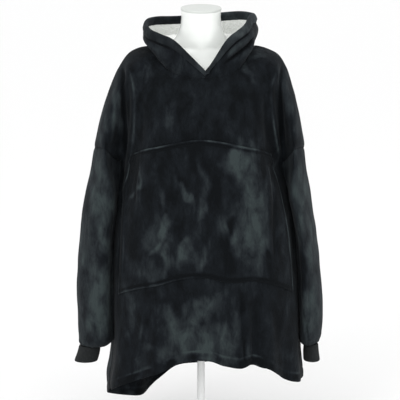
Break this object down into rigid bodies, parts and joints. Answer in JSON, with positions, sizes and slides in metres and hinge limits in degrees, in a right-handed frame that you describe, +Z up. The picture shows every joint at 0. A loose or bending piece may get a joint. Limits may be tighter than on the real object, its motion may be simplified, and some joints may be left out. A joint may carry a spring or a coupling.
{
  "type": "hoodie on a dress form",
  "caption": "Oversized plush blanket hoodie with a pale fleece lined hood, big front pouch pocket and rib cuffs, hanging on a white limbless dress form on a pole stand.",
  "frame": {"origin": "middle of the base's underside, on the floor", "axes": "+Z up, -Y the garment's front, +X the wearer's left"},
  "size_m": [0.7347, 0.4065, 1.2639],
  "materials": {
    "plush": "crushed flannel fleece, matt with a shifting nap",
    "edge_plush": "brushed fleece over a padded channel",
    "rib_knit": "matt rib knit",
    "sherpa": "curly off-white fleece",
    "form_shell": "glossy white shell",
    "cap_plastic": "satin white",
    "stand_metal": "white powder coat"
  },
  "bodies": {
    "root": {"front_panel": "plush", "back_panel": "plush", "sleeve_left": "plush", "sleeve_right": "plush", "pocket": "plush", "hood_left": "plush", "hood_right": "plush", "hood_edge_band": "edge_plush", "cuff_left": "rib_knit", "cuff_right": "rib_knit", "hood_lining_left": "sherpa", "hood_lining_right": "sherpa", "form_torso": "form_shell", "form_neck_cap": "cap_plastic", "stand_base": "stand_metal", "stand_pole": "stand_metal"}
  },
  "joints": []
}
